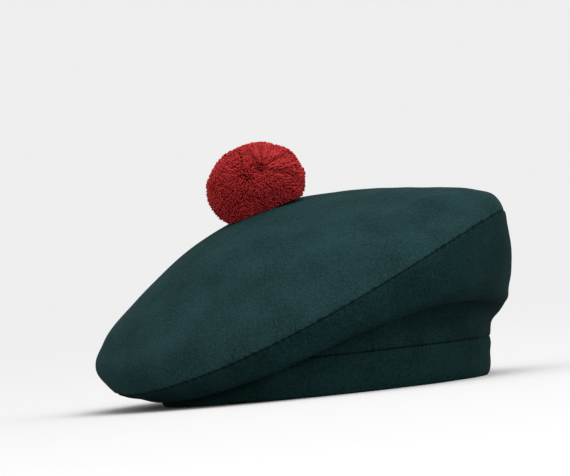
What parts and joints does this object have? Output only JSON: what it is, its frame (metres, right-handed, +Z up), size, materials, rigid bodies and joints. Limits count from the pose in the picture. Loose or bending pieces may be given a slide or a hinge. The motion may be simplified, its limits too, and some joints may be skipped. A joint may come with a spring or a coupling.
{
  "type": "tam o'shanter bonnet",
  "caption": "Round flat wool bonnet with a wide domed crown pulled over to one side, a folded cloth headband open for the head, and a yarn pompom on top.",
  "frame": {"origin": "on the surface that the bonnet rests on, under the middle of its bounding box", "axes": "+Z up out of the crown, -Y towards the front of the head, +X towards the wearer's left; the crown is pulled down towards -X"},
  "size_m": [0.2238, 0.24, 0.1349],
  "materials": {
    "wool_crown": "bottle-green milled wool melton with a short matt nap",
    "wool_under": "bottle-green milled wool melton, slightly darker under the rim",
    "wool_band": "bottle-green milled wool melton, folded double",
    "yarn": "dark red wool yarn with cut ends"
  },
  "bodies": {
    "root": {"crown_top": "wool_crown", "crown_side": "wool_under", "headband": "wool_band", "pompom": "yarn"}
  },
  "joints": []
}
